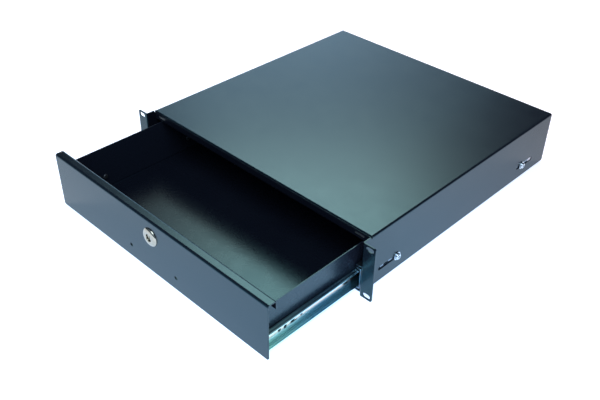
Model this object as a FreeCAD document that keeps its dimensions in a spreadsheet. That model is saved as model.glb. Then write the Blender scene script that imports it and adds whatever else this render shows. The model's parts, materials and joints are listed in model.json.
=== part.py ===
import FreeCAD, Part
import os
import Sketcher

# Lockable sliding drawer for a 19-inch rack, two units high, on three-part ball slides.
#
# Millimetres. +X is to the right seen from the front, +Y to the rear, +Z up. The origin is the
# centre of the four rack slots, on the rear face of the ears, which seats on the rack rails.
# Everything that moves with the drawer is drawn with the drawer shut, and its Placement then
# draws it out by drawer_open, which is where the drawer stands at rest.

SIZES = {
    # Rack ears, to the 19-inch rack standard
    "rack_width": 482.6,
    "unit_height": 88.1,
    "ear_reach": 19.3,
    "ear_slot_inset": 8.75,
    "ear_slot_margin": 5.95,
    "ear_slot_length": 12.0,
    "ear_slot_height": 7.0,
    "ear_corner": 3.0,
    # Case: cover, side walls, ears and feet folded from one sheet, and a back panel.
    # Places along the case are counted from the front face of the ears.
    "case_sheet": 1.5,
    "case_depth": 457.0,
    "case_bend": 1.2,
    "cover_setback": 15.2,
    "cover_lip": 12.0,
    "lip_side_gap": 1.0,
    "lip_slot_inset": 19.5,
    "lip_slot_length": 16.0,
    "lip_slot_height": 3.5,
    "relief_notch": 4.0,
    "rear_corner_cut": 3.0,
    "foot_width": 10.0,
    "back_flange": 12.0,
    "wall_slot_length": 44.8,
    "wall_slot_height": 6.2,
    "front_slot_lead": 16.8,
    "rear_slot_lag": 8.0,
    # Slides: outer, middle and inner member, balls and cages
    "slide_setback": 3.0,
    "slide_rear_gap": 48.5,
    "slide_level": 23.6,
    "slide_tall": 42.6,
    "slide_thick": 12.7,
    "rail_sheet": 1.2,
    "rail_bend": 0.6,
    "rail_shortfall": 10.0,
    "outer_tip_gap": 1.9,
    "middle_tip_gap": 1.5,
    "tip_run": 1.2,
    "tip_drop": 0.7,
    "big_ball": 3.5,
    "small_ball": 2.4,
    "ball_gap": 0.2,
    "race_width": 2.2,
    "race_depth": 0.3,
    "big_ball_place": 5.3,
    "small_ball_place": 8.4,
    "balls_in_row": 6,
    "ball_pitch": 32.0,
    "ball_pocket_gap": 0.2,
    "cage_sheet": 0.5,
    "cage_gap": 0.3,
    "cage_end": 10.0,
    "cage_arm_past_ball": 1.0,
    "bumper_length": 7.0,
    "bumper_tall": 20.0,
    "bumper_thick": 8.0,
    # Bolts that hold the slides to the case, from outside
    "case_bolt": 4.8,
    "case_bolt_gap": 0.1,
    "case_bolt_head": 9.5,
    "case_bolt_head_tall": 3.2,
    "case_washer": 12.5,
    "case_washer_thick": 1.0,
    "front_case_bolt": 73.9,
    "rear_case_bolt": 21.3,
    # Screws that hold the slides to the drawer, from inside
    "drawer_screw": 3.8,
    "drawer_screw_gap": 0.1,
    "drawer_screw_head": 8.0,
    "drawer_screw_head_tall": 2.2,
    "front_drawer_screw": 66.0,
    "rear_drawer_screw": 12.5,
    "drawer_screws": 3,
    "cross_arm": 1.2,
    "cross_reach": 4.6,
    "cross_depth": 1.4,
    # Holes in the slide webs near their front ends
    "round_hole_place": 28.2,
    "round_hole": 5.0,
    "square_hole_place": 38.1,
    "square_hole_long": 4.5,
    "square_hole_tall": 8.0,
    "key_hole_place": 52.5,
    "key_hole_long": 10.5,
    "key_hole_tall": 6.0,
    "key_tongue_long": 4.0,
    "key_tongue_tall": 2.4,
    # Drawer tray and its back
    "tray_sheet": 1.2,
    "tray_bend": 1.2,
    "tray_rear_gap": 37.0,
    "tray_underside": 1.6,
    "tray_headroom": 15.2,
    "tray_front_flange": 12.0,
    "tray_corner_relief": 5.0,
    "tray_back_flange": 12.0,
    "tray_back_drop": 1.0,
    # Drawer front with the folded channel along its top
    "panel_sheet": 1.5,
    "panel_side_gap": 2.7,
    "panel_edge_gap": 0.5,
    "panel_bend": 1.6,
    "panel_corner": 2.5,
    "channel_depth": 14.2,
    "channel_drop": 12.3,
    "handle_hole": 5.8,
    "handle_spacing": 96.0,
    "handle_level": 21.0,
    # Cam lock
    "lock_drop": 26.7,
    "lock_barrel": 18.6,
    "lock_flats": 16.0,
    "lock_hole_gap": 0.2,
    "lock_bezel": 27.5,
    "lock_bezel_tall": 3.4,
    "lock_bezel_rim": 1.0,
    "lock_bezel_crown": 20.0,
    "lock_face": 15.6,
    "lock_face_recess": 1.4,
    "lock_plug": 12.4,
    "lock_plug_gap": 0.1,
    "lock_plug_recess": 0.5,
    "keyway_wide": 2.2,
    "keyway_tall": 8.6,
    "keyway_deep": 7.0,
    "lock_nut_across": 24.0,
    "lock_nut_thick": 3.5,
    "lock_tail": 6.4,
    "cam_gap": 1.0,
    "cam_sheet": 2.0,
    "cam_width": 14.0,
    "cam_reach": 23.0,
    "cam_play": 0.1,
    "cam_screw": 3.0,
    "cam_screw_head": 8.4,
    "cam_screw_head_tall": 2.6,
    "cam_screw_length": 8.0,
    # How far the drawer stands open
    "drawer_open": 161.5,
}


class Size:
    """A length that carries both its value and the formula that properties are bound to."""

    def __init__(self, value, text):
        self.value = float(value)
        self.text = text

    @staticmethod
    def of(other):
        return other if isinstance(other, Size) else Size(other, f"({other})")

    def __add__(self, other):
        other = Size.of(other)
        return Size(self.value + other.value, f"({self.text} + {other.text})")

    def __sub__(self, other):
        other = Size.of(other)
        return Size(self.value - other.value, f"({self.text} - {other.text})")

    def __mul__(self, other):
        other = Size.of(other)
        return Size(self.value * other.value, f"({self.text} * {other.text})")

    def __truediv__(self, other):
        other = Size.of(other)
        return Size(self.value / other.value, f"({self.text} / {other.text})")

    def __rsub__(self, other):
        return Size.of(other) - self

    def __neg__(self):
        return 0 - self

    __radd__ = __add__
    __rmul__ = __mul__


class Named:
    """The driving sizes, each an attribute by its name in the sheet."""


def fill_sheet(document):
    """Put the driving sizes in a spreadsheet and return them by name."""
    sheet = document.addObject("Spreadsheet::Sheet", "Sizes")
    named = Named()
    for row, (name, value) in enumerate(SIZES.items(), start=1):
        sheet.set(f"A{row}", name)
        sheet.set(f"B{row}", str(value))
        sheet.setAlias(f"B{row}", name)
        setattr(named, name, Size(value, f"Sizes.{name}"))
    document.recompute()
    return named


doc = FreeCAD.newDocument("RackDrawer")
S = fill_sheet(doc)
NOTHING = Size(0, "0")
NODES = []

# Planes and levels that several pieces share. Y places first, then X, then Z.
FACE = -S.case_sheet
CASE_REAR = FACE + S.case_depth
COVER_FRONT = FACE + S.cover_setback
COVER_BEND_END = COVER_FRONT + S.case_sheet + S.case_bend
SLIDE_FRONT = FACE + S.slide_setback
SLIDE_REAR = CASE_REAR - S.slide_rear_gap
RAIL_REAR = SLIDE_REAR - S.rail_shortfall
PANEL_BACK = FACE + S.panel_sheet
TRAY_REAR = CASE_REAR - S.tray_rear_gap

RACK_HALF = S.rack_width / 2
EAR_SLOT_PLACE = RACK_HALF - S.ear_slot_inset
CASE_HALF = RACK_HALF - S.ear_reach
CASE_INNER = CASE_HALF - S.case_sheet
TRAY_HALF = CASE_INNER - S.slide_thick
TRAY_INNER = TRAY_HALF - S.tray_sheet
PANEL_HALF = CASE_HALF - S.panel_side_gap

BASE = -S.unit_height / 2
TOP = S.unit_height / 2
EAR_SLOT_LEVEL = TOP - S.ear_slot_margin
SLIDE_AXIS = BASE + S.slide_level
PANEL_TOP = TOP - S.panel_edge_gap
PANEL_BOTTOM = BASE + S.panel_edge_gap
TRAY_UNDERSIDE = BASE + S.tray_underside
TRAY_FLOOR = TRAY_UNDERSIDE + S.tray_sheet
TRAY_TOP = TOP - S.tray_headroom
LOCK_AXIS = TOP - S.lock_drop

# The slide's section, as depths from the case wall and half heights from its centre line
MIDDLE_WEB = S.rail_sheet + S.cage_gap * 2 + S.cage_sheet
INNER_TIP = MIDDLE_WEB + S.rail_sheet + S.cage_gap * 2 + S.cage_sheet
OUTER_TIP = S.slide_thick - S.outer_tip_gap
MIDDLE_TIP = S.slide_thick - S.middle_tip_gap
BALL_PLAY = S.ball_gap * 2 - S.race_depth * 2
OUTER_HALF = S.slide_tall / 2
MIDDLE_HALF = OUTER_HALF - S.rail_sheet - S.big_ball - BALL_PLAY
INNER_HALF = MIDDLE_HALF - S.rail_sheet - S.small_ball - BALL_PLAY
BIG_BALL_HALF = (OUTER_HALF - S.rail_sheet + MIDDLE_HALF) / 2
SMALL_BALL_HALF = (MIDDLE_HALF - S.rail_sheet + INNER_HALF) / 2
BALL_ROW = S.ball_pitch * (S.balls_in_row - 1)
FIRST_BALL = (SLIDE_FRONT + RAIL_REAR - BALL_ROW) / 2
CAGE_START = FIRST_BALL - S.cage_end

# Places along Y of the slides' bolts and screws
FRONT_BOLT = FACE + S.front_case_bolt
REAR_BOLT = SLIDE_REAR - S.rear_case_bolt
FRONT_SCREW = FACE + S.front_drawer_screw
REAR_SCREW = RAIL_REAR - S.rear_drawer_screw
SCREW_STEP = (REAR_SCREW - FRONT_SCREW) / (SIZES["drawer_screws"] - 1)

# The lock, along Y
CAM_FRONT = COVER_FRONT + S.case_sheet + S.cam_gap
CAM_REAR = CAM_FRONT + S.cam_sheet
LOCK_REAR = CAM_FRONT

SIDES = {"left": -1, "right": 1}
HEX_CORNER = 2 / 3 ** 0.5
NEAR = 1e-6


# ---- Sketch drawing ---------------------------------------------------------------------------

def new_body(label, slide_out=None):
    """Start a sub-part. slide_out is how far it is drawn out to the front at rest."""
    body = doc.addObject("PartDesign::Body", label)
    body.Label = label
    if slide_out is not None:
        body.setExpression("Placement.Base.y", (-slide_out).text)
    NODES.append(body)
    return body


def origin_feature(body, role):
    """One of the body's own origin planes or axes."""
    return next(item for item in body.Origin.OriginFeatures if item.Role == role)


def new_sketch(body, plane, level, shift=(NOTHING, NOTHING)):
    """Sketch on an origin plane moved to level along its axis, with its own origin at shift."""
    sketch = body.newObject("Sketcher::SketchObject", f"{body.Label}_sketch")
    sketch.AttachmentSupport = [(origin_feature(body, plane), "")]
    sketch.MapMode = "FlatFace"
    along = -level if plane == "XZ_Plane" else level
    for axis, size in zip("xyz", (*shift, along)):
        sketch.setExpression(f"AttachmentOffset.Base.{axis}", size.text)
    return sketch


def bind_points(sketch, bindings):
    """Hold points of the sketch at their sizes: (kind, geometry, point, size) in each."""
    constraints = []
    for kind, item, point, size in bindings:
        if kind == "Radius":
            constraints.append(Sketcher.Constraint(kind, item, size.value))
        else:
            constraints.append(Sketcher.Constraint(kind, -1, 1, item, point, size.value))
    first = sketch.ConstraintCount
    sketch.addConstraint(constraints)
    for number, (kind, item, point, size) in enumerate(bindings, start=first):
        sketch.setExpression(f"Constraints[{number}]", size.text)


def draw_loop(sketch, corners, edges=None):
    """Draw a closed loop. An edge is None where straight, or an arc's (centre x, centre y,
    side that it bulges to), and leads from its corner to the next one."""
    edges = edges or [None] * len(corners)
    first = sketch.GeometryCount
    shapes, ends, bindings = [], [], []
    for number, (corner, edge) in enumerate(zip(corners, edges, strict=True), start=first):
        following = corners[(number - first + 1) % len(corners)]
        start = FreeCAD.Vector(corner[0].value, corner[1].value, 0)
        end = FreeCAD.Vector(following[0].value, following[1].value, 0)
        if edge is None:
            shapes.append(Part.LineSegment(start, end))
            ends.append((1, 2))
        else:
            centre = FreeCAD.Vector(edge[0].value, edge[1].value, 0)
            outward = FreeCAD.Vector(*edge[2], 0).normalize()
            middle = centre + outward * centre.distanceToPoint(start)
            leftward = (middle - start).cross(end - middle).z > 0
            shapes.append(Part.Arc(*((start, middle, end) if leftward else (end, middle, start))))
            ends.append((1, 2) if leftward else (2, 1))
            level_chord = abs(end.x - start.x) > abs(end.y - start.y)
            kind, size = ("DistanceY", edge[1]) if level_chord else ("DistanceX", edge[0])
            bindings.append((kind, number, 3, size))
        bindings.append(("DistanceX", number, ends[-1][0], corner[0]))
        bindings.append(("DistanceY", number, ends[-1][0], corner[1]))
    sketch.addGeometry(shapes)
    joins = []
    for number in range(len(shapes)):
        after = (number + 1) % len(shapes)
        joins.append(Sketcher.Constraint(
            "Coincident", first + number, ends[number][1], first + after, ends[after][0]))
    sketch.addConstraint(joins)
    bind_points(sketch, bindings)


def draw_box(sketch, low_x, low_y, high_x, high_y):
    """Draw a rectangle."""
    draw_loop(sketch, [(low_x, low_y), (high_x, low_y), (high_x, high_y), (low_x, high_y)])


def draw_circle(sketch, x, y, diameter):
    """Draw a circle."""
    number = sketch.GeometryCount
    radius = diameter / 2
    centre = FreeCAD.Vector(x.value, y.value, 0)
    sketch.addGeometry(Part.Circle(centre, FreeCAD.Vector(0, 0, 1), radius.value))
    bind_points(sketch, [
        ("DistanceX", number, 3, x), ("DistanceY", number, 3, y), ("Radius", number, 0, radius)])


def draw_slot(sketch, x, y, length, height):
    """Draw a slot with round ends, long way along the sketch's first axis."""
    near = x - (length - height) / 2
    far = x + (length - height) / 2
    low = y - height / 2
    high = y + height / 2
    draw_loop(
        sketch, [(near, low), (far, low), (far, high), (near, high)],
        [None, (far, y, (1, 0)), None, (near, y, (-1, 0))])


def round_corner(corner, arriving, leaving, radius):
    """A square corner rounded off: its two points and the arc between them."""
    start = tuple(c - a * radius for c, a in zip(corner, arriving))
    end = tuple(c + b * radius for c, b in zip(corner, leaving))
    centre = tuple(s + b * radius for s, b in zip(start, leaving))
    toward = tuple(a - b for a, b in zip(arriving, leaving))
    return start, end, (*centre, toward)


def folded_sheet(path, sheet, radius, side):
    """Outline of a sheet folded square: path runs along one face, and the sheet lies on its
    left (side 1) or right (side -1). radius is that of the inside of each fold."""
    runs = []
    for here, there in zip(path, path[1:]):
        gap = [there[axis].value - here[axis].value for axis in (0, 1)]
        runs.append(tuple((value > 1e-9) - (value < -1e-9) for value in gap))
    across = [(-run[1] * side, run[0] * side) for run in runs]
    corners, edges = [path[0]], [None]
    back = [tuple(p + n * sheet for p, n in zip(path[0], across[0]))]
    back_edges = [None]
    for number in range(1, len(path) - 1):
        before, after = runs[number - 1], runs[number]
        turn = before[0] * after[1] - before[1] * after[0]
        front_radius, back_radius = (radius + sheet, radius) if turn == side else (
            radius, radius + sheet)
        start, end, arc = round_corner(path[number], before, after, front_radius)
        corners += [start, end]
        edges += [arc, None]
        corner = tuple(
            p + n * sheet + o * sheet
            for p, n, o in zip(path[number], across[number - 1], across[number]))
        start, end, arc = round_corner(corner, before, after, back_radius)
        back += [start, end]
        back_edges += [arc, None]
    corners.append(path[-1])
    edges.append(None)
    back.append(tuple(p + n * sheet for p, n in zip(path[-1], across[-1])))
    return corners + back[::-1], edges + back_edges[::-1] + [None]


# ---- Features ---------------------------------------------------------------------------------

def add_pad(body, sketch, length):
    """Raise a sketch toward rising X, Y or Z."""
    pad = body.newObject("PartDesign::Pad", f"{body.Label}_pad")
    pad.Profile = sketch
    pad.Reversed = sketch.AttachmentSupport[0][0].Role == "XZ_Plane"
    pad.setExpression("Length", length.text)
    return pad


def add_pocket(body, sketch, length):
    """Cut a sketch toward rising X, Y or Z."""
    pocket = body.newObject("PartDesign::Pocket", f"{body.Label}_cut")
    pocket.Profile = sketch
    pocket.Reversed = sketch.AttachmentSupport[0][0].Role != "XZ_Plane"
    pocket.setExpression("Length", length.text)
    return pocket


def add_turned(body, sketch, axis="H_Axis"):
    """Turn a sketch all the way round one of its own axes."""
    turned = body.newObject("PartDesign::Revolution", f"{body.Label}_turned")
    turned.Profile = sketch
    turned.ReferenceAxis = (sketch, [axis])
    turned.Angle = 360
    return turned


def add_row(body, features, length, count):
    """Repeat features along Y, count times over length."""
    row = body.newObject("PartDesign::LinearPattern", f"{body.Label}_row")
    row.Originals = features
    row.Direction = (origin_feature(body, "Y_Axis"), [""])
    row.setExpression("Length", length.text)
    row.setExpression("Occurrences", count.text)
    body.Tip = row
    return row


def runs_along(edge, axis):
    """Whether an edge is straight along one axis."""
    box = edge.BoundBox
    spans = {"X": box.XLength, "Y": box.YLength, "Z": box.ZLength}
    return all(span < NEAR for name, span in spans.items() if name != axis)


def at_x(edge, size):
    """Whether an edge lies at X plus or minus size."""
    return abs(abs(edge.BoundBox.Center.x) - size.value) < NEAR


def round_edges(body, feature, chosen, radius):
    """Fillet the edges of the feature that the test chosen picks."""
    doc.recompute()
    names = [
        f"Edge{number}" for number, edge in enumerate(feature.Shape.Edges, start=1)
        if chosen(edge)]
    fillet = body.newObject("PartDesign::Fillet", f"{body.Label}_round")
    fillet.Base = (feature, names)
    fillet.setExpression("Radius", radius.text)
    return fillet


# ---- Case -------------------------------------------------------------------------------------

def make_chassis_shell():
    """Cover, walls, ears and feet, all folded from one sheet."""
    body = new_body("chassis_shell")
    foot_edge = CASE_HALF - S.foot_width

    section = new_sketch(body, "XZ_Plane", COVER_BEND_END)
    draw_loop(section, *folded_sheet(
        [(foot_edge, BASE), (CASE_HALF, BASE), (CASE_HALF, TOP), (-CASE_HALF, TOP),
         (-CASE_HALF, BASE), (-foot_edge, BASE)], S.case_sheet, S.case_bend, 1))
    add_pad(body, section, CASE_REAR - COVER_BEND_END)

    for side in SIDES.values():
        ear_fold = new_sketch(body, "XY_Plane", BASE)
        draw_loop(ear_fold, *folded_sheet(
            [(side * CASE_INNER, COVER_BEND_END), (side * CASE_INNER, FACE),
             (side * RACK_HALF, FACE)], S.case_sheet, S.case_bend, side))
        add_pad(body, ear_fold, S.unit_height)

    lip = new_sketch(body, "YZ_Plane", S.lip_side_gap - CASE_INNER)
    draw_loop(lip, *folded_sheet(
        [(COVER_BEND_END + S.case_sheet, TOP), (COVER_FRONT, TOP),
         (COVER_FRONT, TOP - S.cover_lip)], S.case_sheet, S.case_bend, 1))
    add_pad(body, lip, (CASE_INNER - S.lip_side_gap) * 2)

    lip_slots = new_sketch(body, "XZ_Plane", COVER_FRONT)
    lip_level = TOP - (S.cover_lip + S.case_sheet + S.case_bend) / 2
    for side in SIDES.values():
        draw_slot(lip_slots, side * (CASE_HALF - S.lip_slot_inset), lip_level,
                  S.lip_slot_length, S.lip_slot_height)
    add_pocket(body, lip_slots, S.case_sheet)

    ear_slots = new_sketch(body, "XZ_Plane", FACE)
    for side in SIDES.values():
        for level in SIDES.values():
            draw_slot(ear_slots, side * EAR_SLOT_PLACE, level * EAR_SLOT_LEVEL,
                      S.ear_slot_length, S.ear_slot_height)
    add_pocket(body, ear_slots, S.case_sheet)

    wall_slots = new_sketch(body, "YZ_Plane", -CASE_HALF)
    for place in (FRONT_BOLT - S.front_slot_lead, REAR_BOLT + S.rear_slot_lag):
        draw_slot(wall_slots, place, SLIDE_AXIS, S.wall_slot_length, S.wall_slot_height)
    add_pocket(body, wall_slots, CASE_HALF * 2)

    corner_cuts = new_sketch(body, "YZ_Plane", -CASE_HALF)
    draw_loop(corner_cuts, [
        (COVER_BEND_END, TOP), (COVER_BEND_END - S.relief_notch, TOP),
        (COVER_BEND_END - S.relief_notch / 2, TOP - S.relief_notch)])
    draw_loop(corner_cuts, [
        (CASE_REAR, BASE), (CASE_REAR, BASE + S.rear_corner_cut),
        (CASE_REAR - S.rear_corner_cut, BASE)])
    cut = add_pocket(body, corner_cuts, CASE_HALF * 2)
    round_edges(body, cut, lambda edge: runs_along(edge, "Y") and at_x(edge, RACK_HALF),
                S.ear_corner)


def make_back_panel():
    """Plate across the rear of the case, with flanges welded to the cover and walls."""
    body = new_body("back_panel")
    front = CASE_REAR - S.back_flange
    plate = new_sketch(body, "XY_Plane", BASE)
    draw_loop(plate, *folded_sheet(
        [(CASE_INNER, front), (CASE_INNER, CASE_REAR), (-CASE_INNER, CASE_REAR),
         (-CASE_INNER, front)], S.case_sheet, S.case_bend, 1))
    add_pad(body, plate, S.unit_height - S.case_sheet - S.case_bend)
    top_edge = new_sketch(body, "YZ_Plane", S.case_bend * 2 - CASE_INNER)
    top_inner = TOP - S.case_sheet
    draw_loop(top_edge, *folded_sheet(
        [(CASE_REAR, top_inner - S.back_flange), (CASE_REAR, top_inner), (front, top_inner)],
        S.case_sheet, S.case_bend, 1))
    add_pad(body, top_edge, (CASE_INNER - S.case_bend * 2) * 2)
    foot_cuts = new_sketch(body, "XZ_Plane", front)
    foot_top = BASE + S.case_sheet + S.case_bend
    for side in SIDES.values():
        draw_box(foot_cuts, side * (CASE_HALF - S.foot_width - S.case_bend), BASE,
                 side * CASE_HALF, foot_top)
    add_pocket(body, foot_cuts, S.back_flange)


# ---- Slides -----------------------------------------------------------------------------------

def rail_section(side, back, tip, half, races):
    """Outline of a slide member: a web at depth back from the case wall, flanges that reach
    to depth tip at half above and below the slide's centre line, and ball races pressed into
    the flanges: (depth, 1 outward or -1 inward) in each, from the web to the tip."""
    reach = 1 if tip.value > back.value else -1
    inner_half = half - S.rail_sheet
    outer_bend = S.rail_bend + S.rail_sheet
    race_half = S.race_width / 2
    race_rise = (race_half * race_half - S.race_depth * S.race_depth) / (S.race_depth * 2)

    def flange_line(level):
        """The long face of a flange at a level, from its bend to its tip."""
        nodes, arcs = [(back + reach * outer_bend, level)], []
        for depth, hump in races:
            nodes += [(depth - reach * race_half, level), (depth + reach * race_half, level)]
            arcs += [None, (depth, level - hump * race_rise, (0, hump))]
        nodes += [(tip - reach * S.tip_run, level), (tip, level - S.tip_drop)]
        return nodes, arcs + [None, None]

    outside, outside_arcs = flange_line(half)
    inside, inside_arcs = flange_line(inner_half)
    corners = [(back, half - outer_bend), *outside, *inside[::-1],
               (back + reach * S.rail_sheet, inner_half - S.rail_bend)]
    edges = [(back + reach * outer_bend, half - outer_bend, (-reach, 1)), *outside_arcs, None,
             *inside_arcs[::-1],
             (back + reach * outer_bend, inner_half - S.rail_bend, (-reach, 1))]

    def place(point, up):
        return side * (CASE_INNER - point[0]), SLIDE_AXIS + up * point[1]

    def place_edge(edge, up):
        return edge and (*place(edge, up), (-side * edge[2][0], up * edge[2][1]))

    return (
        [place(corner, 1) for corner in corners] + [place(corner, -1) for corner in corners[::-1]],
        [place_edge(edge, 1) for edge in edges] + [None]
        + [place_edge(edge, -1) for edge in edges[::-1]] + [None])


def make_rail(name, side, section, rear, slide_out=None):
    """A slide member as a length of its section. Returns its body."""
    body = new_body(name, slide_out)
    sketch = new_sketch(body, "XZ_Plane", SLIDE_FRONT)
    draw_loop(sketch, *section)
    add_pad(body, sketch, rear - SLIDE_FRONT)
    return body


def web_sketch(body, side, near, far):
    """Sketch on a web that lies between two depths from the case wall, on the given side."""
    return new_sketch(body, "YZ_Plane", CASE_INNER - far if side > 0 else near - CASE_INNER)


def make_slide(name, side):
    """The three members of one slide, its two ball cages, their balls and the rear bumper."""
    outer = make_rail(
        f"slide_outer_{name}", side,
        rail_section(side, NOTHING, OUTER_TIP, OUTER_HALF, [(S.big_ball_place, 1)]), SLIDE_REAR)
    holes = web_sketch(outer, side, NOTHING, S.rail_sheet)
    tapped = S.case_bolt + S.case_bolt_gap * 2
    for place in (FRONT_BOLT, REAR_BOLT):
        draw_circle(holes, place, SLIDE_AXIS, tapped)
    draw_circle(holes, FACE + S.square_hole_place, SLIDE_AXIS, S.round_hole)
    draw_slot(holes, FACE + S.key_hole_place, SLIDE_AXIS, S.key_hole_long, S.round_hole)
    add_pocket(outer, holes, S.rail_sheet)

    make_rail(
        f"slide_middle_{name}", side,
        rail_section(side, MIDDLE_WEB, MIDDLE_TIP, MIDDLE_HALF,
                     [(S.big_ball_place, -1), (S.small_ball_place, 1)]), RAIL_REAR)

    inner = make_rail(
        f"slide_inner_{name}", side,
        rail_section(side, S.slide_thick, INNER_TIP, INNER_HALF, [(S.small_ball_place, -1)]),
        RAIL_REAR, S.drawer_open)
    holes = web_sketch(inner, side, S.slide_thick - S.rail_sheet, S.slide_thick)
    for number in range(SIZES["drawer_screws"]):
        draw_circle(holes, FRONT_SCREW + number * SCREW_STEP, SLIDE_AXIS,
                    S.drawer_screw + S.drawer_screw_gap * 2)
    draw_circle(holes, FACE + S.round_hole_place, SLIDE_AXIS, S.round_hole)
    draw_box(holes, FACE + S.square_hole_place - S.square_hole_long / 2,
             SLIDE_AXIS - S.square_hole_tall / 2,
             FACE + S.square_hole_place + S.square_hole_long / 2,
             SLIDE_AXIS + S.square_hole_tall / 2)
    front = FACE + S.key_hole_place - S.key_hole_long / 2
    rear = front + S.key_hole_long
    low, high = SLIDE_AXIS - S.key_hole_tall / 2, SLIDE_AXIS + S.key_hole_tall / 2
    tongue_low, tongue_high = SLIDE_AXIS - S.key_tongue_tall / 2, SLIDE_AXIS + S.key_tongue_tall / 2
    tongue_end = rear - S.key_tongue_long
    draw_loop(holes, [
        (front, low), (rear, low), (rear, tongue_low), (tongue_end, tongue_low),
        (tongue_end, tongue_high), (rear, tongue_high), (rear, high), (front, high)])
    add_pocket(inner, holes, S.rail_sheet)

    make_cage(f"outer_cage_{name}", side, S.rail_sheet + S.cage_gap, S.big_ball_place,
              BIG_BALL_HALF, S.big_ball)
    make_cage(f"inner_cage_{name}", side, MIDDLE_WEB + S.rail_sheet + S.cage_gap,
              S.small_ball_place, SMALL_BALL_HALF, S.small_ball, S.drawer_open / 2)
    make_balls(f"outer_balls_{name}", side, S.big_ball_place, BIG_BALL_HALF, S.big_ball)
    make_balls(f"inner_balls_{name}", side, S.small_ball_place, SMALL_BALL_HALF, S.small_ball,
               S.drawer_open / 2)

    bumper = new_body(f"rear_bumper_{name}")
    sketch = new_sketch(bumper, "XZ_Plane", SLIDE_REAR - S.bumper_length)
    draw_box(sketch, side * (CASE_INNER - S.rail_sheet), SLIDE_AXIS - S.bumper_tall / 2,
             side * (CASE_INNER - S.rail_sheet - S.bumper_thick), SLIDE_AXIS + S.bumper_tall / 2)
    add_pad(bumper, sketch, S.bumper_length)


def make_cage(name, side, web, ball_place, ball_half, ball, slide_out=None):
    """Thin folded strip between two members, with a row of ball pockets in each arm."""
    body = new_body(name, slide_out)
    tip = ball_place + ball / 2 + S.cage_arm_past_ball
    half = ball_half + S.cage_sheet / 2
    section = new_sketch(body, "XZ_Plane", CAGE_START)
    near, far = side * (CASE_INNER - web), side * (CASE_INNER - tip)
    draw_loop(section, *folded_sheet(
        [(far, SLIDE_AXIS + half), (near, SLIDE_AXIS + half), (near, SLIDE_AXIS - half),
         (far, SLIDE_AXIS - half)], S.cage_sheet, S.cage_sheet, -side))
    add_pad(body, section, BALL_ROW + S.cage_end * 2)
    pocket_row = new_sketch(body, "XY_Plane", SLIDE_AXIS - half)
    draw_circle(pocket_row, side * (CASE_INNER - ball_place), FIRST_BALL,
                ball + S.ball_pocket_gap * 2)
    pocket = add_pocket(body, pocket_row, half * 2)
    add_row(body, [pocket], BALL_ROW, S.balls_in_row)


def make_balls(name, side, place, half, ball, slide_out=NOTHING):
    """The upper and lower row of steel balls of one cage."""
    balls = []
    for level in SIDES.values():
        for number in range(SIZES["balls_in_row"]):
            item = doc.addObject("Part::Sphere", f"{name}_ball")
            item.setExpression("Radius", (ball / 2).text)
            middle = (side * (CASE_INNER - place),
                      FIRST_BALL + number * S.ball_pitch - slide_out, SLIDE_AXIS + level * half)
            for axis, size in zip("xyz", middle):
                item.setExpression(f"Placement.Base.{axis}", size.text)
            balls.append(item)
    rows = doc.addObject("Part::Compound", name)
    rows.Label = name
    rows.Links = balls
    NODES.append(rows)


# ---- Bolts, washers and screws ----------------------------------------------------------------

def make_pan_screws(name, seat, toward, places, head, head_tall, shank, reach, count,
                    slide_out=None):
    """A row of cross-head screws between two places along Y. The head's flat side seats at
    X seat and its dome faces toward (1 or -1 along X); the shank goes the other way by
    reach."""
    body = new_body(name, slide_out)
    place, last = places
    profile = new_sketch(body, "XY_Plane", SLIDE_AXIS, (NOTHING, place))
    crown = seat + toward * head_tall
    head_half, shank_half = head / 2, shank / 2
    dome = head_tall * 2 / 3
    rim, flat = crown - toward * dome, head_half - dome
    draw_loop(profile, [
        (seat - toward * reach, NOTHING), (crown, NOTHING), (crown, flat), (rim, head_half),
        (seat, head_half), (seat, shank_half), (seat - toward * reach, shank_half)],
        [None, None, (rim, flat, (toward, 1)), None, None, None, None])
    turned = add_turned(body, profile)
    depth = S.cross_depth
    start = crown - depth if toward > 0 else crown
    cross = new_sketch(body, "YZ_Plane", start, (place, SLIDE_AXIS))
    arm, half_arm = S.cross_reach / 2, S.cross_arm / 2
    draw_loop(cross, [
        (arm, -half_arm), (arm, half_arm), (half_arm, half_arm), (half_arm, arm),
        (-half_arm, arm), (-half_arm, half_arm), (-arm, half_arm), (-arm, -half_arm),
        (-half_arm, -half_arm), (-half_arm, -arm), (half_arm, -arm), (half_arm, -half_arm)])
    recess = add_pocket(body, cross, depth)
    add_row(body, [turned, recess], last - place, count)


def make_fasteners(name, side):
    """What holds one slide: bolts and washers on the case, screws in the drawer."""
    washer_seat = side * CASE_HALF
    head_seat = side * (CASE_HALF + S.case_washer_thick)
    reach = S.case_washer_thick + S.case_sheet + S.rail_sheet
    pair = Size.of(2)
    make_pan_screws(f"slide_bolts_{name}", head_seat, side, (FRONT_BOLT, REAR_BOLT),
                    S.case_bolt_head, S.case_bolt_head_tall, S.case_bolt, reach, pair)
    body = new_body(f"slide_washers_{name}")
    ring = new_sketch(body, "YZ_Plane", washer_seat if side > 0 else head_seat)
    draw_circle(ring, FRONT_BOLT, SLIDE_AXIS, S.case_washer)
    draw_circle(ring, FRONT_BOLT, SLIDE_AXIS, S.case_bolt + S.case_bolt_gap * 2)
    pad = add_pad(body, ring, S.case_washer_thick)
    add_row(body, [pad], REAR_BOLT - FRONT_BOLT, pair)
    make_pan_screws(f"drawer_screws_{name}", side * TRAY_INNER, -side,
                    (FRONT_SCREW, REAR_SCREW), S.drawer_screw_head, S.drawer_screw_head_tall,
                    S.drawer_screw, S.tray_sheet + S.rail_sheet, S.drawer_screws, S.drawer_open)


# ---- Drawer -----------------------------------------------------------------------------------

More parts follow.
